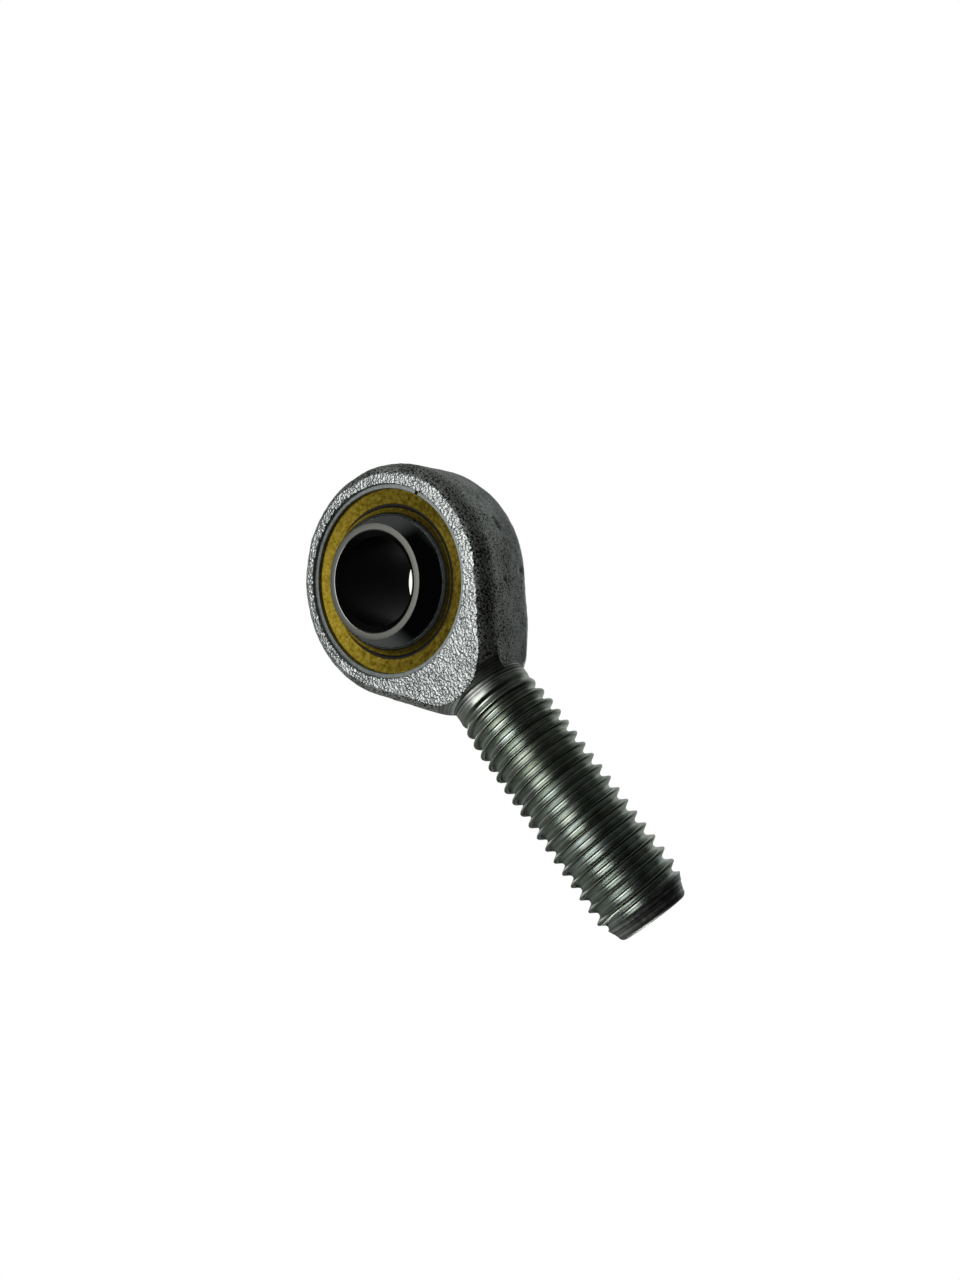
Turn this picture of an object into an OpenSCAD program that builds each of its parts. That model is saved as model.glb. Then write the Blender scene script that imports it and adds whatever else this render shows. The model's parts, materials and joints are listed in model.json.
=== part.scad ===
// Male rod end, size 12: a forged eye on a threaded shank, with a ball that swivels in a brass race.
// The origin is the centre of the ball. The bore runs along Y, and the shank points down -Z.

/* [Eye] */
// Outside diameter of the eye
head_d = 32; // [30:0.5:36]
// Thickness of the eye along the bore
head_w = 12; // [11.5:0.1:13]
// Rounding of the eye's rim
rim_r = 1.5; // [0.5:0.1:2.5]
// Angle between the shank and each straight side under the eye
side_angle = 38; // [34:1:44]

/* [Seat] */
// Diameter of the seat that holds the race
seat_d = 26; // [25.5:0.1:27]
// Diameter of the groove that holds each retaining ring
groove_d = 26.4; // [26.2:0.1:27.4]
// Chamfer at each mouth of the seat
seat_chamfer = 0.1; // [0.05:0.05:0.25]

/* [Race] */
// Width of the brass race where it touches the seat
race_w = 9.9; // [9.5:0.1:10]
// How far each face of the race slopes in from its flat land to its spherical seat
race_dish = 0.45; // [0.1:0.05:0.6]
// Diameter where the flat land under the retaining ring ends
race_land_d = 24.5; // [24:0.1:25]
// Thickness of the sliding liner inside the race
liner_t = 0.25; // [0.2:0.05:0.5]
// Radial running clearance between the ball and the liner
ball_gap = 0.03; // [0.02:0.01:0.08]

/* [Ball] */
// Diameter of the ball
ball_d = 22.225; // [21:0.025:23]
// Width of the ball along the bore
ball_w = 16; // [15:0.1:17]
// Diameter of the bolt's bore
bore_d = 12; // [10:0.1:12.5]
// Chamfer at each mouth of the bore
bore_chamfer = 0.75; // [0.2:0.05:1]

/* [Retaining rings] */
// Inside diameter of each retaining ring
ring_in_d = 24.8; // [24:0.1:25]
// Thickness of each retaining ring along the bore
ring_t = 0.6; // [0.4:0.05:0.65]
// Bevel on the ring's visible inner edge
ring_bevel = 0.1; // [0.05:0.05:0.3]
// Width of the slit that lets each ring spring into its groove
ring_slit = 0.5; // [0.3:0.1:2]
// Where the slit lies, from +X up towards +Z
ring_slit_angle = 22.5; // [0:0.5:360]

/* [Shank] */
// Distance from the ball's centre to the shank's tip
centre_to_tip = 54; // [48:0.5:60]
// Distance from the ball's centre to the step under the eye
centre_to_neck = 19.5; // [19:0.1:20.5]
// Diameter of the plain neck above the thread
neck_d = 10.9; // [10.2:0.1:11.5]
// Nominal diameter of the thread
thread_d = 12; // [12:0.1:12]
// Pitch of the thread
pitch = 1.75; // [1.5:0.25:1.75]
// Length of the thread up from the tip
thread_l = 33; // [28:0.5:33]
// Length of the chamfer at the shank's tip
tip_chamfer = 1.5; // [1:0.1:2]
// Radius of the flat end of the tip
tip_r = 4.5; // [4:0.1:4.8]

/* [Turned shoulder] */
// Half angle of the cone turned under the eye
cone_angle = 38; // [34:1:42]
// Steepest angle of the rounding where the cone meets the neck
root_angle = 62; // [55:1:70]
// Radius of that rounding
shoulder_r = 4.9; // [3:0.1:6]

/* [Hidden] */
$fn = 96;

eps = 0.01;
ball_r = ball_d / 2;
liner_r = ball_r + ball_gap;      // sliding face of the liner
race_r = liner_r + liner_t;       // spherical face of the race, where the liner is bonded
race_seat_w = race_w - 2 * race_dish;    // width of that spherical face
seat_r = seat_d / 2;
slab_l = 26;                      // long enough for the two straight sides to meet below the neck

// Metric thread: flat crests, 60 degree flanks and a narrow flat root
crest_r = thread_d / 2;
root_r = crest_r - 0.6134 * pitch;
crest_flat = pitch / 8;
groove_w = pitch - crest_flat;
root_flat = groove_w - 2 * (crest_r - root_r) * tan(30);
thread_top = -centre_to_tip + thread_l;
first_groove = thread_top - pitch;
groove_count = floor((thread_l - tip_chamfer - pitch) / pitch);
full_thread_end = -centre_to_tip + tip_chamfer;

// Turns a shape drawn round Z so that it lies round the bore, along Y
module along_bore() rotate([-90, 0, 0]) children();

// Section of the eye: a bar with rounded long edges, centred on the bore
module eye_section(half) {
    flat = half - rim_r;
    straight = head_w / 2 - rim_r;
    square([2 * flat, head_w], center = true);
    square([2 * half, 2 * straight], center = true);
    for (x = [-flat, flat], y = [-straight, straight])
        translate([x, y]) circle(r = rim_r);
}

// One straight side under the eye, tangent to the eye's outline
module side_slab() {
    rotate([0, side_angle, 0]) translate([0, 0, -slab_l])
        linear_extrude(height = slab_l) eye_section(head_d / 2);
}

// The forged blank: a round eye that narrows towards the shank
module eye_blank() {
    along_bore() rotate_extrude() intersection() {
        eye_section(head_d / 2);
        translate([0, -head_w]) square([head_d, 2 * head_w]);
    }
    intersection() {
        side_slab();
        mirror([1, 0, 0]) side_slab();
    }
}

// What the lathe leaves of the blank: a cone with a rounded end above the neck
module turned_envelope() {
    arc_x = neck_d / 2 - shoulder_r * cos(root_angle);
    arc_z = -centre_to_neck + shoulder_r * sin(root_angle);
    cone_x = arc_x + shoulder_r * cos(cone_angle);
    cone_z = arc_z - shoulder_r * sin(cone_angle);
    reach = head_d;
    rotate_extrude() polygon(concat(
        [[0, -centre_to_neck]],
        [for (a = [root_angle : -4 : cone_angle + 1])
            [arc_x + shoulder_r * cos(a), arc_z - shoulder_r * sin(a)]],
        [[cone_x, cone_z],
         [cone_x + reach * tan(cone_angle), cone_z + reach],
         [cone_x + reach * tan(cone_angle), head_d],
         [0, head_d]]));
}

// The shank: plain neck, thread as ring grooves with full crests, and a chamfered tip
module shank() {
    rotate_extrude() polygon(concat(
        [[0, -centre_to_neck + 1], [neck_d / 2, -centre_to_neck + 1],
         [neck_d / 2, thread_top + (crest_r - neck_d / 2)], [crest_r, thread_top]],
        [for (i = [0 : groove_count - 1], p = [[crest_r, groove_w / 2], [root_r, root_flat / 2],
                                               [root_r, -root_flat / 2], [crest_r, -groove_w / 2]])
            [p[0], first_groove - i * pitch + p[1]]],
        [[crest_r, full_thread_end], [tip_r, -centre_to_tip], [0, -centre_to_tip]]));
}

// Seat for the race, a groove for each retaining ring, and a chamfer at each mouth
module seat_cut() {
    along_bore() {
        cylinder(r = seat_r, h = head_w + 2, center = true);
        for (side = [0, 1]) mirror([0, 0, side]) {
            translate([0, 0, race_w / 2]) cylinder(d = groove_d, h = ring_t);
            translate([0, 0, head_w / 2 - seat_chamfer])
                cylinder(r1 = seat_r, r2 = seat_r + 2 * seat_chamfer, h = 2 * seat_chamfer);
        }
    }
}

module housing() {
    color([0.62, 0.66, 0.68]) difference() {
        union() {
            intersection() {
                eye_blank();
                turned_envelope();
            }
            shank();
        }
        seat_cut();
    }
}

// Brass race: a plain ring outside, a spherical seat inside, and dished faces
module race() {
    mouth_r = sqrt(race_r * race_r - race_seat_w * race_seat_w / 4);
    color([0.55, 0.45, 0.16]) along_bore() difference() {
        rotate_extrude() polygon([
            [ball_r / 2, -race_seat_w / 2], [mouth_r, -race_seat_w / 2], [race_land_d / 2, -race_w / 2],
            [seat_r, -race_w / 2], [seat_r, race_w / 2],
            [race_land_d / 2, race_w / 2], [mouth_r, race_seat_w / 2], [ball_r / 2, race_seat_w / 2]]);
        sphere(r = race_r);
    }
}

// Thin sliding layer bonded to the inside of the race
module liner() {
    color([0.13, 0.11, 0.09]) along_bore() difference() {
        intersection() {
            sphere(r = race_r);
            cylinder(r = seat_r, h = race_seat_w, center = true);
        }
        sphere(r = liner_r);
    }
}

// Ball: a sphere with two ground faces and a chamfered bore
module ball() {
    mouth_r = bore_d / 2 + bore_chamfer;
    color([0.50, 0.51, 0.52]) along_bore() difference() {
        intersection() {
            sphere(d = ball_d);
            cylinder(d = ball_d + 2, h = ball_w, center = true);
        }
        cylinder(d = bore_d, h = ball_w + 2, center = true);
        for (side = [0, 1]) mirror([0, 0, side])
            translate([0, 0, ball_w / 2 - bore_chamfer])
                cylinder(r1 = bore_d / 2, r2 = mouth_r + eps, h = bore_chamfer + eps);
    }
}

// Split spring ring that keeps the race in its seat, drawn for the +Y side
module retaining_ring() {
    inner = ring_in_d / 2;
    top = race_w / 2 + ring_t;
    difference() {
        along_bore() rotate_extrude() polygon([
            [inner, race_w / 2], [groove_d / 2, race_w / 2], [groove_d / 2, top],
            [inner + ring_bevel, top], [inner, top - ring_bevel]]);
        rotate([0, -ring_slit_angle, 0]) translate([0, race_w / 2 - 1, -ring_slit / 2])
            cube([groove_d, ring_t + 2, ring_slit]);
    }
}

module front_retaining_ring() {
    color([0.68, 0.72, 0.76]) mirror([0, 1, 0]) retaining_ring();
}

module rear_retaining_ring() {
    color([0.68, 0.72, 0.76]) retaining_ring();
}

housing();
race();
liner();
ball();
front_retaining_ring();
rear_retaining_ring();
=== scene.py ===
import json
import math
import bmesh
import bpy
import numpy as np
from mathutils import Matrix, Vector

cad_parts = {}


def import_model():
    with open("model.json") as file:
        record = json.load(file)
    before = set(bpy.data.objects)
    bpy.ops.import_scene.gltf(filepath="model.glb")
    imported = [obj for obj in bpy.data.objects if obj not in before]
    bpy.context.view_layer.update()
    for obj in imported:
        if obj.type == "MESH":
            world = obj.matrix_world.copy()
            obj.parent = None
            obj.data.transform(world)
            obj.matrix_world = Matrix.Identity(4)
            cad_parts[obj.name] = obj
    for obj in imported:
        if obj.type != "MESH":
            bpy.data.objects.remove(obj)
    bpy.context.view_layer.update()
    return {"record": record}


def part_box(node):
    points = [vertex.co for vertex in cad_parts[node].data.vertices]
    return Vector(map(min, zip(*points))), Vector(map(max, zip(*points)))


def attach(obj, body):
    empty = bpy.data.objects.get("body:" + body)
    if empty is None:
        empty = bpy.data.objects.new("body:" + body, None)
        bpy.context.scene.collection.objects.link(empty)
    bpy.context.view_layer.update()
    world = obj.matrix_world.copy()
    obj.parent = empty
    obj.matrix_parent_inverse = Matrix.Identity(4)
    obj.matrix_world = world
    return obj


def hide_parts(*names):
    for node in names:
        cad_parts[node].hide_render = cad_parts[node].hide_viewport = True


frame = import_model()

# Meshes are worked out in millimetres and scaled once, in add_piece. Z points away from the shank,
# and the bore lies along Y.
MM = 0.001


def box_mm(node):
    """The two corners of a CAD node's box, in millimetres."""
    return [[v / MM for v in corner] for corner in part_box(node)]


def mount(name):
    """A mount of the record, by its name."""
    return next(m for m in frame["record"]["mounts"] if m["name"] == name)


# Sizes that the frame gives
EYE_R = box_mm("housing")[1][0]
EYE_HALF = box_mm("housing")[1][1]
TIP_Z = box_mm("housing")[0][2]
SEAT_R = box_mm("race")[1][0]
RACE_HALF = box_mm("race")[1][1]
GROOVE_R = box_mm("rear_retaining_ring")[1][0]
RING_OUT = box_mm("rear_retaining_ring")[1][1]
BALL_R = box_mm("ball")[1][0]
BALL_HALF = box_mm("ball")[1][1]
BORE_R = mount("eye_bore")["dims"]["r_mm"]
BORE_CHAMFER = BALL_HALF - mount("eye_bore")["dims"]["length_mm"] / 2
THREAD_R = mount("shank_thread")["dims"]["r_mm"]

# The eye. Its front is the side of -Y, which the camera sees.
SIDE_ANGLE = math.radians(38)    # between the shank's axis and each straight side under the eye
FRONT_FILLET = 3.4
REAR_FILLET = 2.9
RIM_EXTRA = 0.52        # how far the rim's rounding would pass the face, which leaves a crisp edge
FRONT_SHIFT = (0.163, -0.147)    # how far the front's rounding leans in X and Z for each mm inwards
SEAT_CHAMFER = 0.1
SKIN_SINK = 0.02        # the middle of the rough skin lies this far below the plain surface

# Layers of the forging's skin: height of the bumps and their wavelength
FACE_SKIN = ((0.033, 0.42), (0.016, 0.8), (0.012, 5.0))
RIM_SKIN = ((0.007, 0.6), (0.010, 1.6), (0.025, 7.0))

# Small random pits in the rim
PIT_COUNT = 90
PIT_ANGLES = (-0.6, math.pi + 0.6)
PIT_REACH = 4.6
PIT_SIZES = (0.15, 0.4)
PIT_DEPTHS = (0.02, 0.07)

# Handling marks in the rim: degrees from +X, place along Y, radius and depth
NOTCH = ((-11, 0.1, 0.30, 0.20), (-13.5, 0.35, 0.40, 0.28), (-16, 0.5, 0.34, 0.22))
DENTS = ((-29, -4.8, 0.35, 0.20), (-41, -0.8, 0.40, 0.22), (-37, 3.5, 0.50, 0.25), (6, -4.6, 0.30, 0.18))

# The neck, and the shoulder that the lathe leaves between it and the eye
NECK_R = 5.45
NECK_Z = -19.5
SHOULDER_R = 4.9
ROOT_ANGLE = math.radians(62)
CONE_LENGTH = 11        # along the cone, which ends outside the eye
TURNED_TOP = -18.0      # above this height the shoulder keeps the forging's skin
TURNING_STEP = 0.14     # from one turning mark to the next
TURNING_DEPTH = 0.012

# The thread
PITCH = 1.75
CREST_HALF = 0.12       # half the width of the crest's flat
ROOT_FILLET = 0.40
THREAD_TOP = -20.6
THREAD_PHASE = 0.58     # height of a crest on the side of +X, give or take whole pitches
RUNOUT = 3.2 * PITCH    # over this length the thread grows from the blank to full depth
EARLY_RUNOUT = 0.35 * RUNOUT     # over this one its root does, and the first part of its crest
EARLY_SHARE = 0.25

# The tip: a flat end with a rounded edge, then radius and height above the end for each corner
TIP_FLAT_R = 4.15
TIP_ROUNDING = 0.65
TIP_TAPER = ((4.93, 1.0), (5.2, 1.5), (5.55, 2.2), (6.3, 3.3))

# The race, the liner, the retaining rings and the ball
FIT_GAP = 0.005         # between pieces that touch
BALL_GAP = 0.03
LINER_T = 0.25
LINER_R = BALL_R + BALL_GAP
RACE_R = LINER_R + LINER_T
RACE_DISH = 0.45
RACE_LAND_R = 12.25
RACE_BEVEL = 0.07
LINER_SHORT = 0.12      # how far the liner ends inside each mouth of the race
LINER_GAP = 0.004
RING_IN_R = 12.4
RING_BEVEL = 0.10
RING_ROUNDING = 0.04
RING_SLIT = 0.5
RING_SLIT_ANGLE = math.radians(22.5)
BALL_EDGE = 0.07        # softening of the edge between the sphere and a ground face
BORE_ROUNDING = 0.15    # rounding between a ground face and the bore's chamfer


# ---------------------------------------------------------------- mesh helpers

def make_mesh(name, points, faces):
    mesh = bpy.data.meshes.new(name)
    mesh.from_pydata(np.asarray(points, float).reshape(-1, 3).tolist(), [], faces)
    mesh.update()
    return mesh


def grid_faces(rows, columns, wrap_rows=False, wrap_columns=False):
    """Quads of a grid of points, numbered row by row."""
    r = np.arange(rows if wrap_rows else rows - 1)[:, None]
    c = np.arange(columns if wrap_columns else columns - 1)[None, :]
    r1, c1 = (r + 1) % rows, (c + 1) % columns
    quads = np.stack(np.broadcast_arrays(r * columns + c, r * columns + c1, r1 * columns + c1,
                                         r1 * columns + c), axis=-1)
    return quads.reshape(-1, 4).tolist()


def clean(mesh, merge=1e-5):
    """Turns every face outwards, after merging points that coincide. merge=0 merges none."""
    bm = bmesh.new()
    bm.from_mesh(mesh)
    if merge:
        bmesh.ops.remove_doubles(bm, verts=bm.verts, dist=merge)
    bmesh.ops.recalc_face_normals(bm, faces=bm.faces)
    bm.to_mesh(mesh)
    bm.free()
    return mesh


def lathe(name, profile, segments, closed=False, axis="Z", span=None):
    """Turns (radius, height) points round an axis. closed joins the last point to the first.
    span is the (start, end) of a turn that isn't whole, whose two ends are capped."""
    profile = np.asarray(profile, float)
    count = len(profile)
    whole = span is None
    start, end = (0.0, 2 * math.pi) if whole else span
    angles = np.linspace(start, end, segments, endpoint=not whole)
    radius, height = profile[:, 0], profile[:, 1]
    around, up = np.outer(np.cos(angles), radius), np.outer(np.sin(angles), radius)
    along = np.broadcast_to(height, around.shape)
    if axis == "Z":
        points = np.stack([around, up, along], axis=-1)
    else:
        points = np.stack([around, along, up], axis=-1)
    faces = grid_faces(segments, count, wrap_rows=whole, wrap_columns=closed)
    if not whole:
        faces += [list(range(count)), [(segments - 1) * count + i for i in range(count)]]
    return clean(make_mesh(name, points, faces))


def arc(centre, radius, start, end, steps):
    """Points of an arc, with angles measured from the first axis towards the second."""
    a = np.linspace(start, end, steps + 1)
    return [(centre[0] + radius * math.cos(t), centre[1] + radius * math.sin(t)) for t in a]


def wavy(shape, step, wavelength, seed, band=0.35):
    """A smooth random field on a grid, with bumps near one wavelength and a spread of 1."""
    rng = np.random.default_rng(seed)
    fy = np.fft.fftfreq(shape[0], step)[:, None]
    fx = np.fft.fftfreq(shape[1], step)[None, :]
    wanted = np.exp(-((np.hypot(fx, fy) * wavelength - 1) / band) ** 2 / 2)
    field = np.fft.ifft2(np.fft.fft2(rng.standard_normal(shape)) * wanted).real
    return field / field.std()


def rough_skin(shape, step, layers, seed):
    """The sum of wavy fields, one for each (height, wavelength) layer."""
    return sum(height * wavy(shape, step, wavelength, seed + k)
               for k, (height, wavelength) in enumerate(layers))


def plain_object(name, mesh):
    obj = bpy.data.objects.new(name, mesh)
    bpy.context.collection.objects.link(obj)
    return obj


def paint_faces(mesh, index):
    mesh.polygons.foreach_set("material_index", np.full(len(mesh.polygons), index, np.int32))


def boolean(target, tool, operation):
    """target becomes target INTERSECT, UNION or DIFFERENCE tool, and tool is deleted."""
    modifier = target.modifiers.new(operation, "BOOLEAN")
    modifier.object, modifier.operation = tool, operation
    modifier.solver = "MANIFOLD"
    modifier.material_mode = "INDEX"
    graph = bpy.context.evaluated_depsgraph_get()
    made = bpy.data.meshes.new_from_object(target.evaluated_get(graph))
    old = target.data
    target.modifiers.clear()
    target.data = made
    bpy.data.meshes.remove(old)
    bpy.data.meshes.remove(tool.data)


def shade(mesh, between_materials=12, within=40, rough_slots=()):
    """Smooth shading with sharp edges where the surface turns by more than these degrees.
    The surfaces in rough_slots stay smooth all over, apart from their borders."""
    bm = bmesh.new()
    bm.from_mesh(mesh)
    between, inside = math.radians(between_materials), math.radians(within)
    for face in bm.faces:
        face.smooth = True
    for edge in bm.edges:
        if len(edge.link_faces) != 2:
            continue
        a, b = (face.material_index for face in edge.link_faces)
        turn = edge.calc_face_angle(0.0)
        if a != b:
            edge.smooth = turn < between
        elif a not in rough_slots:
            edge.smooth = turn < inside
    bm.to_mesh(mesh)
    bm.free()


def add_piece(name, mesh, materials, body, node):
    """Scales a mesh to metres and makes it the visible piece for a CAD node."""
    mesh.transform(Matrix.Scale(MM, 4))
    while len(mesh.materials) < len(materials):
        mesh.materials.append(None)
    for i, material in enumerate(materials):
        mesh.materials[i] = material
    obj = plain_object(name, mesh)
    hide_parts(node)
    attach(obj, body)
    return obj


# ---------------------------------------------------------------- housing

# Material slots of the housing, in the order that build fills them
FACE, RIM, TURNED, THREAD, SEAT = range(5)


def forged_slab():
    """A slab whose two faces carry the rough skin of the forging."""
    step = 0.11
    past_rim, past_neck = 1, 1.5
    xs = np.arange(-EYE_R - past_rim, EYE_R + past_rim, step)
    zs = np.arange(NECK_Z - past_neck, EYE_R + past_rim, step)
    x, z = np.meshgrid(xs, zs)
    layers = []
    for side, seed in ((-1, 11), (1, 23)):
        skin = rough_skin(x.shape, step, FACE_SKIN, seed)
        layers.append(np.stack([x, side * (EYE_HALF - SKIN_SINK) + side * skin, z], axis=-1))
    rows, columns = x.shape
    front = grid_faces(rows, columns)
    count = rows * columns
    back = [[count + i for i in reversed(face)] for face in front]
    edge = (list(range(columns)) + [r * columns + columns - 1 for r in range(1, rows)]
            + [(rows - 1) * columns + c for c in range(columns - 2, -1, -1)]
            + [r * columns for r in range(rows - 2, 0, -1)])
    walls = [[a, b, count + b, count + a] for a, b in zip(edge, edge[1:] + edge[:1])]
    points = np.concatenate([layer.reshape(-1, 3) for layer in layers])
    mesh = clean(make_mesh("slab", points, front + back + walls), merge=0)
    paint_faces(mesh, FACE)
    return plain_object("slab", mesh)


def outline(offset, arc_steps, line_steps):
    """The eye's outline, offset inwards: over the top, down to the point under it, and up again.
    Each point is X, Z and the outward normal's X and Z."""
    r = EYE_R - offset
    a = SIDE_ANGLE
    over = [(r * math.cos(t), r * math.sin(t), math.cos(t), math.sin(t))
            for t in np.linspace(-a, math.pi + a, arc_steps + 1)]
    point = np.array([0, -r / math.sin(a)])
    down, up = [], []
    for k in range(1, line_steps):
        t = k / line_steps
        left = (1 - t) * np.array([-r * math.cos(a), -r * math.sin(a)]) + t * point
        down.append((*left, -math.cos(a), -math.sin(a)))
        right = t * np.array([r * math.cos(a), -r * math.sin(a)]) + (1 - t) * point
        up.append((*right, math.cos(a), -math.sin(a)))
    return np.array(over + down + [(*point, 0.0, -1.0)] + up)


def rim_fillet(radius):
    """The rounding from the rim to a face: inset, height, and the outward normal's two parts."""
    points = 14
    centre = EYE_HALF + RIM_EXTRA - radius
    return [(radius * (1 - math.cos(t)), centre + radius * math.sin(t), math.cos(t), math.sin(t))
            for t in np.linspace(0, math.pi / 2, points)]


def rim_solid():
    """The eye's rounded rim and straight sides, with the finer skin and pits of the forging."""
    step = 0.24
    front, rear = rim_fillet(FRONT_FILLET), rim_fillet(REAR_FILLET)
    arc_steps = round(EYE_R * (math.pi + 2 * SIDE_ANGLE) / step)
    line_steps = round(EYE_R / math.tan(SIDE_ANGLE) / step)
    low, high = -front[0][1], rear[0][1]
    flat = [(0.0, y, 1.0, 0.0) for y in np.linspace(low, high, round((high - low) / step))[1:-1]]
    section = [(inset, -y, n, -m) for inset, y, n, m in reversed(front)] + flat + rear
    outlines = [outline(inset, arc_steps, line_steps) for inset, _, _, _ in section]
    for i in range(len(front)):
        outlines[i][:, :2] += section[i][0] * np.array(FRONT_SHIFT)
    rows, columns = len(section), len(outlines[0])
    skin = rough_skin((rows, columns), step, RIM_SKIN, 31)
    points = []
    for i, (line, (_, y, n, m)) in enumerate(zip(outlines, section)):
        out = skin[i] - SKIN_SINK
        points.append(np.stack([line[:, 0] + out * n * line[:, 2], y + out * m * np.ones(columns),
                                line[:, 1] + out * n * line[:, 3]], axis=-1))
    points = np.array(points)
    dent(points)
    faces = grid_faces(rows, columns, wrap_columns=True)
    faces += [list(range(columns)), [(rows - 1) * columns + c for c in range(columns)]]
    mesh = clean(make_mesh("rim", points, faces), merge=0)
    paint_faces(mesh, RIM)
    return plain_object("rim", mesh)


def dent(points):
    """Presses the random pits, the notch and the dents into the rim."""
    rng = np.random.default_rng(5)
    marks = []
    for _ in range(PIT_COUNT):
        angle = rng.uniform(*PIT_ANGLES)
        y = rng.uniform(-PIT_REACH, PIT_REACH)
        marks.append((angle, y, rng.uniform(*PIT_SIZES), rng.uniform(*PIT_DEPTHS)))
    for degrees, y, size, depth in NOTCH + DENTS:
        marks.append((math.radians(degrees), y, size, depth))
    radius = np.hypot(points[..., 0], points[..., 2])
    for angle, y, size, depth in marks:
        centre = np.array([EYE_R * math.cos(angle), y, EYE_R * math.sin(angle)])
        away = np.linalg.norm(points - centre, axis=-1)
        press = depth * np.exp(-(away / size) ** 2)
        points[..., 0] -= press * points[..., 0] / radius
        points[..., 2] -= press * points[..., 2] / radius


def paint_above(mesh, height, index):
    """Gives another material to the faces above a height."""
    for polygon in mesh.polygons:
        if polygon.center.z > height:
            polygon.material_index = index


def turned_solid():
    """What the lathe leaves: a cone with a rounded end over the neck, with fine turning marks."""
    centre = (NECK_R - SHOULDER_R * math.cos(ROOT_ANGLE), NECK_Z + SHOULDER_R * math.sin(ROOT_ANGLE))
    rounding = arc(centre, SHOULDER_R, -ROOT_ANGLE, -SIDE_ANGLE, steps=16)
    start = np.array(rounding[-1])
    along = np.array([math.sin(SIDE_ANGLE), math.cos(SIDE_ANGLE)])
    cone = [tuple(start + s * along) for s in np.arange(TURNING_STEP, CONE_LENGTH, TURNING_STEP)]
    marked = np.array(rounding + cone)
    rng = np.random.default_rng(41)
    marks = rng.standard_normal(len(marked)) * TURNING_DEPTH
    marks[0] = 0
    marked[:, 0] += marks
    past_eye, beyond = 4, 30
    wide, cone_top = cone[-1][0] + beyond, cone[-1][1] + beyond
    top = EYE_R + past_eye + beyond
    profile = [(0, NECK_Z)] + [tuple(p) for p in marked] + [(wide, cone_top), (wide, top), (0, top)]
    mesh = lathe("turned", profile, segments=200)
    paint_faces(mesh, TURNED)
    paint_above(mesh, TURNED_TOP, RIM)
    return plain_object("turned", mesh)


def thread_section(samples):
    """Radius of the full thread at even steps along one pitch, starting at a crest's middle."""
    slope = math.tan(math.radians(60))
    root_half = ROOT_FILLET * math.sin(math.radians(60))
    root_end = THREAD_R - slope * (PITCH / 2 - CREST_HALF - root_half)
    s = np.arange(samples) / samples * PITCH
    s = np.minimum(s, PITCH - s)
    flank = THREAD_R - slope * np.clip(s - CREST_HALF, 0, None)
    from_root = np.minimum(PITCH / 2 - s, root_half)
    root = root_end + ROOT_FILLET * math.cos(math.radians(60)) - np.sqrt(ROOT_FILLET ** 2 - from_root ** 2)
    return np.where(PITCH / 2 - s < root_half, root, flank)


def faded_radius(z, full):
    """Radius at each height: the full thread's, fading into the blank over the run-out."""
    grown = np.clip((THREAD_TOP - z) / RUNOUT, 0, 1)
    grown = grown * grown * (3 - 2 * grown)
    early = np.clip((THREAD_TOP - z) / EARLY_RUNOUT, 0, 1)
    share = np.where(full > NECK_R, EARLY_SHARE * early + (1 - EARLY_SHARE) * grown, early)
    return NECK_R + (full - NECK_R) * share


def thread_rod():
    """A right-hand helical thread, longer than the shank at both ends, which fades into the blank."""
    around, samples = 76, 16
    past_tip, past_neck, cap = 3, 4, 0.5
    low, high = TIP_Z - past_tip, NECK_Z + past_neck
    turns = math.ceil((high - low) / PITCH)
    rows = turns * samples + 1
    section = thread_section(samples)
    j = np.arange(rows)[:, None]
    i = np.arange(around + 1)[None, :]
    z = low + (j / samples + i / around) * PITCH
    offset = (THREAD_PHASE - low) / PITCH * samples
    radius_of = np.interp((j - offset) % samples, np.arange(samples + 1), [*section, section[0]])
    radius = faded_radius(z, np.broadcast_to(radius_of, z.shape))
    a = i / around * 2 * math.pi
    points = np.stack([radius * np.cos(a), radius * np.sin(a), z], axis=-1)
    ends = [[0, 0, low - cap], [0, 0, z.max() + cap]]
    faces = grid_faces(rows, around + 1) + thread_ends(rows, around, samples)
    points = np.concatenate([points.reshape(-1, 3), ends])
    mesh = clean(make_mesh("thread", points, faces), merge=1e-4)
    paint_faces(mesh, THREAD)
    paint_above(mesh, THREAD_TOP, TURNED)
    return plain_object("thread", mesh)


def thread_ends(rows, around, samples):
    """Triangles that close the rod: each end is a ramp of one pitch, which gets a fan to a point on
    the axis and has its step closed. The two points on the axis come last among the points."""
    columns = around + 1
    low_point = rows * columns
    high_point = low_point + 1
    foot = [r * columns for r in range(samples, -1, -1)]
    head = [r * columns + around for r in range(rows - 1 - samples, rows)]
    rim = [(rows - 1) * columns + c for c in range(columns)]
    faces = [[c + 1, c, low_point] for c in range(around)]
    faces += [[foot[k + 1], foot[k], low_point] for k in range(samples)]
    faces += [[rim[c], rim[c + 1], high_point] for c in range(around)]
    faces += [[head[k + 1], head[k], high_point] for k in range(samples)]
    return faces


def shank_limits():
    """The turned outline of the shank: a chamfered, slightly rounded tip and a plain top."""
    past_neck, rounding_end = 3, -0.15
    centre = (TIP_FLAT_R, TIP_Z + TIP_ROUNDING)
    edge = arc(centre, TIP_ROUNDING, -math.pi / 2, rounding_end, steps=8)
    taper = [(r, TIP_Z + height) for r, height in TIP_TAPER]
    top = NECK_Z + past_neck
    profile = [(0, TIP_Z)] + edge + taper + [(taper[-1][0], top), (0, top)]
    mesh = lathe("limits", profile, segments=168)
    paint_faces(mesh, TURNED)
    return plain_object("limits", mesh)


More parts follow.
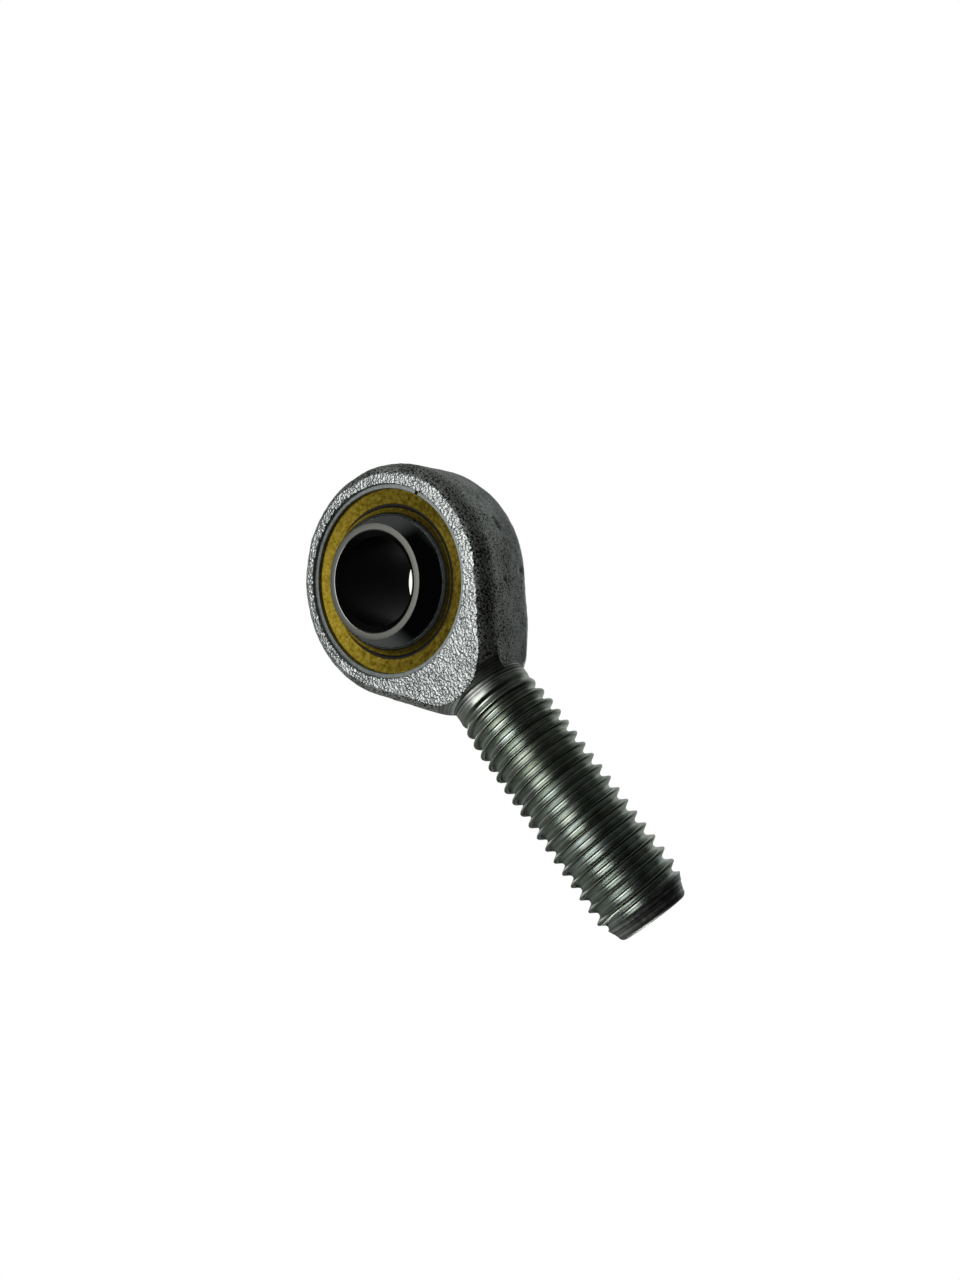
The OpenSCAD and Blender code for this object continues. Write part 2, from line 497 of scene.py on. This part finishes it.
def seat_tool():
    """What is cut out of the eye: the seat, both ring grooves and the chamfer at each mouth."""
    past_face, outside = 1.0, 7.0
    half = [(0, outside), (SEAT_R + SEAT_CHAMFER + past_face, outside), (SEAT_R, EYE_HALF - SEAT_CHAMFER),
            (SEAT_R, RING_OUT), (GROOVE_R, RING_OUT), (GROOVE_R, RACE_HALF), (SEAT_R, RACE_HALF)]
    mesh = lathe("seat", half + [(r, -h) for r, h in reversed(half)], segments=240, axis="Y")
    paint_faces(mesh, SEAT)
    return plain_object("seat", mesh)


def housing():
    """The forged eye and its shank, as one mesh."""
    body = forged_slab()
    boolean(body, rim_solid(), "INTERSECT")
    boolean(body, turned_solid(), "INTERSECT")
    shank = thread_rod()
    boolean(shank, shank_limits(), "INTERSECT")
    boolean(body, shank, "UNION")
    boolean(body, seat_tool(), "DIFFERENCE")
    mesh = body.data
    bpy.data.objects.remove(body)
    shade(mesh, rough_slots=(FACE, RIM))
    return mesh


# ---------------------------------------------------------------- race, liner, rings and ball

def sphere_arc(radius, half, steps):
    """Points of a sphere's outline between two planes, from +half to -half."""
    a = math.asin(half / radius)
    return [(radius * math.cos(t), radius * math.sin(t)) for t in np.linspace(a, -a, steps + 1)]


def race():
    """Brass ring with dished faces and a small bevel at the mouth of its spherical seat."""
    face, mouth = RACE_HALF, RACE_HALF - RACE_DISH
    inner = sphere_arc(RACE_R, mouth - RACE_BEVEL, steps=40)
    lip = inner[0][0] + RACE_BEVEL
    out = SEAT_R - FIT_GAP
    profile = ([(out, -face + RACE_BEVEL), (out, face - RACE_BEVEL), (out - RACE_BEVEL, face),
                (RACE_LAND_R, face), (lip, mouth)] + inner
               + [(lip, -mouth), (RACE_LAND_R, -face), (out - RACE_BEVEL, -face)])
    mesh = lathe("race", profile, segments=240, closed=True, axis="Y")
    shade(mesh, within=8)
    return mesh


def liner():
    """Thin layer inside the race's spherical seat."""
    half = RACE_HALF - RACE_DISH - LINER_SHORT
    outer = sphere_arc(RACE_R - LINER_GAP, half, steps=36)
    inner = sphere_arc(LINER_R, half, steps=36)
    profile = outer + inner[::-1]
    mesh = lathe("liner", profile, segments=200, closed=True, axis="Y")
    shade(mesh, within=25)
    return mesh


def ring(side):
    """Split retaining ring on the side y < 0 (-1) or y > 0 (1)."""
    inner, outer = RING_IN_R, GROOVE_R - FIT_GAP
    low, high = RACE_HALF + FIT_GAP, RING_OUT - FIT_GAP
    profile = [(inner, low), (outer, low), (outer, high - RING_ROUNDING), (outer - RING_ROUNDING, high),
               (inner + RING_BEVEL, high), (inner + 0.3 * RING_BEVEL, high - RING_ROUNDING),
               (inner, high - RING_BEVEL)]
    half = RING_SLIT / 2 / inner
    span = (RING_SLIT_ANGLE + half, RING_SLIT_ANGLE + 2 * math.pi - half)
    profile = [(r, side * h) for r, h in profile]
    mesh = lathe("ring", profile, segments=240, closed=True, axis="Y", span=span)
    shade(mesh, within=25)
    return mesh


# Material slots of the ball
BALL_SPHERE, BALL_FACE, BALL_BORE = range(3)


def ball():
    """Sphere with two ground faces and a chamfered bore. Both edges of each face are softened."""
    face_r = math.sqrt(BALL_R ** 2 - BALL_HALF ** 2)
    drop = 0.02    # depth of the middle of the softened edge
    sphere = sphere_arc(BALL_R, BALL_HALF - BALL_EDGE, steps=110)
    mouth = BORE_R + BORE_CHAMFER
    face_start = mouth + BORE_ROUNDING
    centre = (face_start, BALL_HALF - BORE_ROUNDING)
    rounding = arc(centre, BORE_ROUNDING, 0.75 * math.pi, 0.5 * math.pi, steps=5)
    half = [(BORE_R, BALL_HALF - BORE_CHAMFER)] + rounding
    half += [(face_r - BALL_EDGE, BALL_HALF), (face_r - drop, BALL_HALF - drop)]
    profile = half + sphere + [(r, -h) for r, h in reversed(half)]
    mesh = lathe("ball", profile, segments=200, closed=True, axis="Y")
    slots = []
    for polygon in mesh.polygons:
        c = polygon.center
        r = math.hypot(c.x, c.z)
        if abs(c.y) > BALL_HALF - BALL_EDGE / 2 and r > face_start:
            slots.append(BALL_FACE)
        else:
            slots.append(BALL_BORE if r < mouth else BALL_SPHERE)
    mesh.polygons.foreach_set("material_index", np.array(slots, np.int32))
    shade(mesh, between_materials=30, within=30)
    return mesh


# ---------------------------------------------------------------- materials

class Nodes:
    """Short forms for building a material's node tree. Lengths are given in millimetres."""

    def __init__(self, name, metallic=1.0):
        self.material = bpy.data.materials.new(name)
        self.material.use_nodes = True
        self.tree = self.material.node_tree
        self.shader = self.tree.nodes["Principled BSDF"]
        self.shader.inputs["Metallic"].default_value = metallic
        self.place = self.add("ShaderNodeTexCoord").outputs["Object"]

    def add(self, kind, **inputs):
        """A new node, with its inputs set to numbers or linked to other nodes' outputs."""
        node = self.tree.nodes.new(kind)
        for key, value in inputs.items():
            socket = node.inputs[key.replace("_", " ")]
            if isinstance(value, bpy.types.NodeSocket):
                self.tree.links.new(value, socket)
            else:
                socket.default_value = value
        return node

    def link(self, output, socket):
        """Links an output to one of the shader's own sockets."""
        self.tree.links.new(output, self.shader.inputs[socket])

    def noise(self, size_mm, detail=2.0, rough=0.5, stretch=(1, 1, 1), place=None):
        """Noise whose features are about size_mm across."""
        scale = self.add("ShaderNodeVectorMath", Vector=place or self.place)
        scale.operation = "MULTIPLY"
        scale.inputs[1].default_value = [1 / (size_mm * MM * k) for k in stretch]
        node = self.add("ShaderNodeTexNoise", Vector=scale.outputs[0], Scale=1.0, Detail=detail)
        node.inputs["Roughness"].default_value = rough
        return node.outputs["Fac"]

    def ramp(self, fac, *stops):
        """Colours along a value: (position, colour) pairs."""
        node = self.add("ShaderNodeValToRGB", Fac=fac)
        elements = node.color_ramp.elements
        while len(elements) < len(stops):
            elements.new(0.5)
        for element, (position, colour) in zip(elements, stops):
            element.position = position
            element.color = (*colour, 1)
        return node.outputs["Color"]

    def times(self, a, b):
        """Two colours multiplied."""
        node = self.add("ShaderNodeMix")
        node.data_type, node.blend_type = "RGBA", "MULTIPLY"
        node.inputs[0].default_value = 1.0
        self.tree.links.new(a, node.inputs[6])
        self.tree.links.new(b, node.inputs[7])
        return node.outputs[2]

    def maths(self, operation, *values):
        """A Math node on numbers or outputs."""
        node = self.tree.nodes.new("ShaderNodeMath")
        node.operation = operation
        for socket, value in zip(node.inputs, values):
            if isinstance(value, bpy.types.NodeSocket):
                self.tree.links.new(value, socket)
            else:
                socket.default_value = value
        return node.outputs[0]

    def helix(self, pitch_mm):
        """Coordinates that stay put along a right-hand helix round Z, with a slow drift along Z."""
        drift = 0.05
        split = self.add("ShaderNodeSeparateXYZ", Vector=self.place).outputs
        turn = self.maths("ARCTAN2", split["Y"], split["X"])
        lift = self.maths("MULTIPLY", split["Z"], 2 * math.pi / (pitch_mm * MM))
        phase = self.maths("SUBTRACT", lift, turn)
        reach = pitch_mm * MM / (2 * math.pi)
        x = self.maths("MULTIPLY", self.maths("COSINE", phase), reach)
        y = self.maths("MULTIPLY", self.maths("SINE", phase), reach)
        z = self.maths("MULTIPLY", split["Z"], drift)
        return self.add("ShaderNodeCombineXYZ", X=x, Y=y, Z=z).outputs[0]

    def span(self, fac, low, high, from_low=0.3, from_high=0.7):
        """Maps from_low to low and from_high to high, and what lies between them evenly."""
        node = self.add("ShaderNodeMapRange", Value=fac)
        node.inputs["From Min"].default_value = from_low
        node.inputs["From Max"].default_value = from_high
        node.inputs["To Min"].default_value = low
        node.inputs["To Max"].default_value = high
        return node.outputs["Result"]

    def bump(self, height, distance_mm, under=None):
        """A bump of a 0 to 1 height. under is the normal of a bump that lies below it."""
        node = self.add("ShaderNodeBump", Height=height, Strength=1.0)
        node.inputs["Distance"].default_value = distance_mm * MM
        if under is not None:
            self.tree.links.new(under, node.inputs["Normal"])
        return node.outputs["Normal"]

    def rings(self, size_mm, axis, detail=1.0):
        """Noise that changes only with the distance from an axis and the place along it."""
        split = self.add("ShaderNodeSeparateXYZ", Vector=self.place).outputs
        across = [split[k] for k in "XYZ" if k != axis]
        flat = self.add("ShaderNodeCombineXYZ", X=across[0], Y=across[1])
        radius = self.add("ShaderNodeVectorMath", Vector=flat.outputs[0])
        radius.operation = "LENGTH"
        place = self.add("ShaderNodeCombineXYZ", X=radius.outputs["Value"], Y=split[axis])
        return self.noise(size_mm, detail=detail, place=place.outputs[0])


def forged_face():
    """Bright zinc on the coarse skin of the two faces."""
    m = Nodes("forged_face")
    grain = m.noise(0.16, detail=3, rough=0.6)
    patch = m.noise(2.5, detail=2)
    m.link(m.ramp(patch, (0.3, (0.46, 0.49, 0.48)), (0.7, (0.60, 0.63, 0.62))), "Base Color")
    m.link(m.span(grain, 0.15, 0.26), "Roughness")
    m.link(m.bump(grain, 0.045), "Normal")
    return m.material


def forged_rim():
    """Grey skin with fine dark pits, which crowd together towards the front of the eye. It carries painted
    light: the skin's colour is lighter towards the front, where the key light falls.
    """
    crowded, sparse = -5.6 * MM, 1.5 * MM
    # painted light on the rim: full at the first place along Y, gone at the second
    painted_light_front, painted_light_end = -4.5 * MM, 2.5 * MM
    m = Nodes("forged_rim")
    grain = m.noise(0.22, detail=2, rough=0.6)
    patch = m.noise(3.0, detail=3)
    pits = m.noise(0.26, detail=2)
    across = m.add("ShaderNodeSeparateXYZ", Vector=m.place).outputs["Y"]
    crowd = m.span(across, 0.0, 0.10, from_low=crowded, from_high=sparse)
    local = m.maths("MULTIPLY", patch, 0.18)
    level = m.maths("ADD", m.maths("ADD", pits, crowd), local)
    cloud = m.ramp(patch, (0.35, (0.82, 0.82, 0.80)), (0.65, (1, 1, 1)))
    # painted light: the skin's colour turns lighter towards the front of the eye, the side the key light
    # faces, and darker towards the rear
    painted_light_ramp = m.span(across, 0.0, 1.0, from_low=painted_light_front, from_high=painted_light_end)
    skin = m.times(cloud, m.ramp(painted_light_ramp, (0.0, (0.92, 0.95, 0.91)), (1.0, (0.66, 0.69, 0.68))))
    speck = m.ramp(level, (0.53, (0.12, 0.12, 0.115)), (0.61, (1, 1, 1)))
    m.link(m.times(skin, speck), "Base Color")
    m.link(m.span(grain, 0.44, 0.58), "Roughness")
    under = m.bump(pits, 0.09)
    m.link(m.bump(grain, 0.07, under=under), "Normal")
    return m.material


def turned_steel():
    """Turning marks in rings round the shank's axis."""
    m = Nodes("turned_steel")
    marks = m.rings(0.30, "Z", detail=3)
    wander = m.noise(0.8, detail=2)
    m.link(m.ramp(marks, (0.38, (0.16, 0.165, 0.15)), (0.5, (0.42, 0.435, 0.41)),
                  (0.60, (0.78, 0.81, 0.78))), "Base Color")
    m.link(m.span(wander, 0.36, 0.52), "Roughness")
    m.link(m.bump(marks, 0.06), "Normal")
    return m.material


def rolled_thread():
    """Streaks run along the thread's helix, and the finish turns from bluish to olive."""
    m = Nodes("rolled_thread")
    along = m.helix(PITCH)
    streak = m.noise(0.18, detail=1, place=along)
    tint = m.noise(0.30, detail=1, place=along)
    smear = m.noise(2.2, detail=2)
    colour = m.ramp(tint, (0.38, (0.60, 0.66, 0.63)), (0.50, (0.53, 0.56, 0.45)),
                    (0.62, (0.74, 0.81, 0.80)))
    darker = m.ramp(smear, (0.35, (0.75, 0.77, 0.74)), (0.65, (1, 1, 1)))
    m.link(m.times(colour, darker), "Base Color")
    m.shader.inputs["Anisotropic"].default_value = 0.6
    tangent = m.add("ShaderNodeTangent")
    tangent.direction_type, tangent.axis = "RADIAL", "Z"
    m.link(tangent.outputs["Tangent"], "Tangent")
    m.link(m.span(streak, 0.22, 0.34), "Roughness")
    m.link(m.bump(streak, 0.010), "Normal")
    return m.material


def smooth_zinc():
    """Zinc on the retaining rings and in the seat."""
    m = Nodes("smooth_zinc")
    smear = m.noise(0.7, detail=3, rough=0.6)
    m.link(m.ramp(smear, (0.35, (0.26, 0.285, 0.275)), (0.65, (0.38, 0.41, 0.40))), "Base Color")
    m.link(m.span(smear, 0.36, 0.50), "Roughness")
    m.link(m.bump(m.rings(0.08, "Y"), 0.004), "Normal")
    return m.material


def dull_brass():
    """Mottled brass with faint turning marks."""
    m = Nodes("dull_brass")
    mottle = m.noise(0.55, detail=5, rough=0.75)
    m.link(m.ramp(mottle, (0.36, (0.12, 0.08, 0.006)), (0.5, (0.28, 0.20, 0.018)),
                  (0.64, (0.44, 0.35, 0.06))), "Base Color")
    m.link(m.span(mottle, 0.40, 0.54), "Roughness")
    fine = m.bump(m.noise(0.15, detail=3), 0.012)
    m.link(m.bump(m.rings(0.10, "Y"), 0.008, under=fine), "Normal")
    return m.material


def sliding_layer():
    """Dark matt cloth."""
    m = Nodes("sliding_layer", metallic=0.0)
    weave = m.noise(0.12, detail=2)
    m.link(m.ramp(weave, (0.3, (0.012, 0.010, 0.008)), (0.7, (0.035, 0.030, 0.024))), "Base Color")
    m.shader.inputs["Roughness"].default_value = 0.75
    m.link(m.bump(weave, 0.02), "Normal")
    return m.material


def polished_steel():
    """The ball's sphere, with a faint haze."""
    m = Nodes("polished_steel")
    haze = m.noise(1.6, detail=4)
    m.shader.inputs["Base Color"].default_value = (0.34, 0.34, 0.345, 1)
    m.link(m.span(haze, 0.05, 0.12), "Roughness")
    m.link(m.bump(m.rings(0.05, "Y"), 0.0006), "Normal")
    return m.material


def ground_face():
    """The ball's two end faces."""
    m = Nodes("ground_face")
    grain = m.noise(0.06, detail=3, stretch=(3, 1, 1))
    m.link(m.ramp(grain, (0.3, (0.26, 0.26, 0.235)), (0.7, (0.34, 0.34, 0.31))), "Base Color")
    m.link(m.span(grain, 0.50, 0.62), "Roughness")
    m.link(m.bump(grain, 0.004), "Normal")
    return m.material


def bore_steel():
    """Almost black colour in the ball's bore, with faint turning marks."""
    m = Nodes("bore_steel")
    marks = m.rings(0.15, "Y", detail=2)
    m.link(m.ramp(marks, (0.3, (0.018, 0.018, 0.017)), (0.7, (0.035, 0.034, 0.032))), "Base Color")
    m.link(m.span(marks, 0.32, 0.45), "Roughness")
    m.link(m.bump(marks, 0.004), "Normal")
    return m.material


# ---------------------------------------------------------------- stage, light and camera

# The camera's place, and its directions to the right and backwards
CAMERA_PLACE = Vector((51.0, -89.1, -48.3)) * MM
CAMERA_RIGHT = Vector((0.6176, 0.5490, -0.5630))
CAMERA_BACK = Vector((0.4454, -0.8340, -0.3250))
CAMERA_LENS = 22.6
SENSOR_WIDTH = 36.0


def camera():
    """The camera of the main view, a little below the part and in front of it."""
    data = bpy.data.cameras.new("camera")
    data.lens = CAMERA_LENS
    data.sensor_width = SENSOR_WIDTH
    data.clip_start = 0.005
    data.clip_end = 10.0
    obj = bpy.data.objects.new("camera", data)
    bpy.context.collection.objects.link(obj)
    back = CAMERA_BACK.normalized()
    right = (CAMERA_RIGHT - CAMERA_RIGHT.dot(back) * back).normalized()
    up = back.cross(right)
    obj.matrix_world = Matrix.Translation(CAMERA_PLACE) @ Matrix((right, up, back)).transposed().to_4x4()
    bpy.context.scene.camera = obj


def area_light(name, place, aim, width, height, watts):
    """A rectangular area light at a place, turned towards the point it aims at."""
    data = bpy.data.lights.new(name, "AREA")
    data.energy = watts
    data.shape = "RECTANGLE"
    data.size = width
    data.size_y = height
    obj = bpy.data.objects.new(name, data)
    bpy.context.collection.objects.link(obj)
    obj.location = place
    obj.rotation_euler = (Vector(aim) - Vector(place)).to_track_quat("-Z", "Y").to_euler()


def toward(azimuth, elevation):
    """Unit vector of a direction, with azimuth in degrees from +X towards +Y."""
    a, e = math.radians(azimuth), math.radians(elevation)
    return Vector((math.cos(a) * math.cos(e), math.sin(a) * math.cos(e), math.sin(e)))


# Softboxes: azimuth, elevation, width and height in degrees as the part sees them, and brightness
SOFTBOXES = {
    "key": (-95, 14, 42, 36, 2.3),
    "back": (138, 34, 36, 30, 1.0),
}

# Soft patches of the surroundings: azimuth, elevation, half-width in degrees and brightness
SURROUNDINGS = [
    (-172, 5, 40, 0.16),
    (94, 12, 32, 0.47),
    (26, 14, 26, 0.05),
    (0, 88, 40, 0.12),
    (138, -57, 11, 5.5),
]
DIM = 0.003    # brightness of the surroundings away from the patches
SOFTBOX_AWAY = 0.45
PART_MIDDLE = Vector((0, 0, -0.01))


def lights():
    """Softboxes that stand round the part's middle."""
    for name, (azimuth, elevation, wide, high, brightness) in SOFTBOXES.items():
        width = 2 * SOFTBOX_AWAY * math.tan(math.radians(wide / 2))
        height = 2 * SOFTBOX_AWAY * math.tan(math.radians(high / 2))
        watts = brightness * math.pi * width * height
        place = PART_MIDDLE + SOFTBOX_AWAY * toward(azimuth, elevation)
        area_light(name, place, PART_MIDDLE, width, height, watts)


def soft_patch(tree, direction, azimuth, elevation, half, brightness):
    """Brightness of one patch in each direction. It fades out between half and one and a half of
    its half-width."""
    dot = tree.nodes.new("ShaderNodeVectorMath")
    dot.operation = "DOT_PRODUCT"
    tree.links.new(direction, dot.inputs[0])
    dot.inputs[1].default_value = toward(azimuth, elevation)
    patch = tree.nodes.new("ShaderNodeMapRange")
    patch.interpolation_type = "SMOOTHSTEP"
    patch.inputs["From Min"].default_value = math.cos(math.radians(half * 1.5))
    patch.inputs["From Max"].default_value = math.cos(math.radians(half * 0.5))
    patch.inputs["To Max"].default_value = brightness
    tree.links.new(dot.outputs["Value"], patch.inputs["Value"])
    return patch.outputs["Result"]


def surroundings(tree):
    """Brightness of the whole surroundings in each direction: DIM and all the patches."""
    direction = tree.nodes.new("ShaderNodeTexCoord").outputs["Generated"]
    total = None
    for patch in SURROUNDINGS:
        add = tree.nodes.new("ShaderNodeMath")
        add.operation = "ADD"
        if total is None:
            add.inputs[0].default_value = DIM
        else:
            tree.links.new(total, add.inputs[0])
        tree.links.new(soft_patch(tree, direction, *patch), add.inputs[1])
        total = add.outputs[0]
    return total


def world():
    """White where the camera looks past the part. Reflections see dim walls with soft patches."""
    made = bpy.data.worlds.new("studio")
    bpy.context.scene.world = made
    made.use_nodes = True
    tree = made.node_tree
    tree.nodes.clear()
    out = tree.nodes.new("ShaderNodeOutputWorld")
    seen = tree.nodes.new("ShaderNodeBackground")
    seen.inputs["Color"].default_value = (1, 1, 1, 1)
    lit = tree.nodes.new("ShaderNodeBackground")
    lit.inputs["Color"].default_value = (0.96, 1.0, 0.98, 1)
    tree.links.new(surroundings(tree), lit.inputs["Strength"])
    mix = tree.nodes.new("ShaderNodeMixShader")
    path = tree.nodes.new("ShaderNodeLightPath")
    tree.links.new(path.outputs["Is Camera Ray"], mix.inputs[0])
    tree.links.new(lit.outputs[0], mix.inputs[1])
    tree.links.new(seen.outputs[0], mix.inputs[2])
    tree.links.new(mix.outputs[0], out.inputs[0])


def floor():
    """A plain white floor below the shank's tip, which only the camera sees."""
    half = 3.0
    below_tip = 0.03
    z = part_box("housing")[0][2] - below_tip
    mesh = bpy.data.meshes.new("floor")
    mesh.from_pydata([(-half, -half, z), (half, -half, z), (half, half, z), (-half, half, z)], [],
                     [(0, 1, 2, 3)])
    obj = plain_object("floor", mesh)
    material = bpy.data.materials.new("floor")
    material.use_nodes = True
    shader = material.node_tree.nodes["Principled BSDF"]
    shader.inputs["Base Color"].default_value = (0, 0, 0, 1)
    shader.inputs["Specular IOR Level"].default_value = 0.0
    shader.inputs["Emission Color"].default_value = (1, 1, 1, 1)
    shader.inputs["Emission Strength"].default_value = 1.0
    mesh.materials.append(material)
    obj.visible_diffuse = obj.visible_glossy = obj.visible_transmission = obj.visible_shadow = False


# ---------------------------------------------------------------- the whole

def build():
    """Every visible piece, with its materials, body and CAD node."""
    zinc = smooth_zinc()
    add_piece("eye_and_shank", housing(),
              [forged_face(), forged_rim(), turned_steel(), rolled_thread(), zinc],
              "rod_end", "housing")
    add_piece("brass_race", race(), [dull_brass()], "rod_end", "race")
    add_piece("sliding_liner", liner(), [sliding_layer()], "rod_end", "liner")
    add_piece("front_ring", ring(-1), [zinc], "rod_end", "front_retaining_ring")
    add_piece("rear_ring", ring(1), [zinc], "rod_end", "rear_retaining_ring")
    add_piece("swivel_ball", ball(), [polished_steel(), ground_face(), bore_steel()],
              "ball", "ball")


build()
camera()
lights()
world()
floor()
bpy.context.scene.view_settings.view_transform = "Standard"
